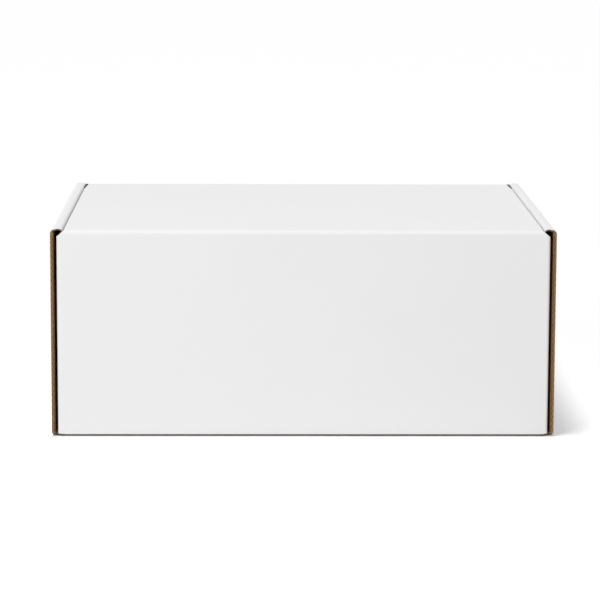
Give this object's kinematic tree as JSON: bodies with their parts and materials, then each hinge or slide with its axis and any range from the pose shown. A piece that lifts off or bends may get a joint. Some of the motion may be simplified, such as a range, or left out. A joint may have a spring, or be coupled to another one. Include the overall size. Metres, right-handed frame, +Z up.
{
  "type": "corrugated mailer box",
  "caption": "Closed folding mailer box of white-lined fluted board: rolled side walls, lid hinged at the back, front flap with ears tucked in beside the walls.",
  "frame": {"origin": "on the floor, at the middle of the box's footprint", "axes": "+Z up, -Y towards the front flap, +X to the right as seen from the front"},
  "size_m": [0.26, 0.209, 0.108],
  "materials": {
    "white_board": "white clay-coated liner outside, brown kraft liner inside and kraft flutes at the cut edges"
  },
  "bodies": {
    "tray": {"tray": "white_board"},
    "lid": {"lid": "white_board"},
    "front_flap": {"front_flap": "white_board"}
  },
  "joints": [
    {"name": "lid_hinge", "type": "hinge", "parent": "tray", "child": "lid", "pos_m": [0, 0.10386, 0.10686], "axis": [-1, 0, 0], "range_deg": [0, 120]},
    {"name": "front_flap_hinge", "type": "hinge", "parent": "lid", "child": "front_flap", "pos_m": [0, -0.10386, 0.10686], "axis": [-1, 0, 0], "range_deg": [0, 110]}
  ]
}
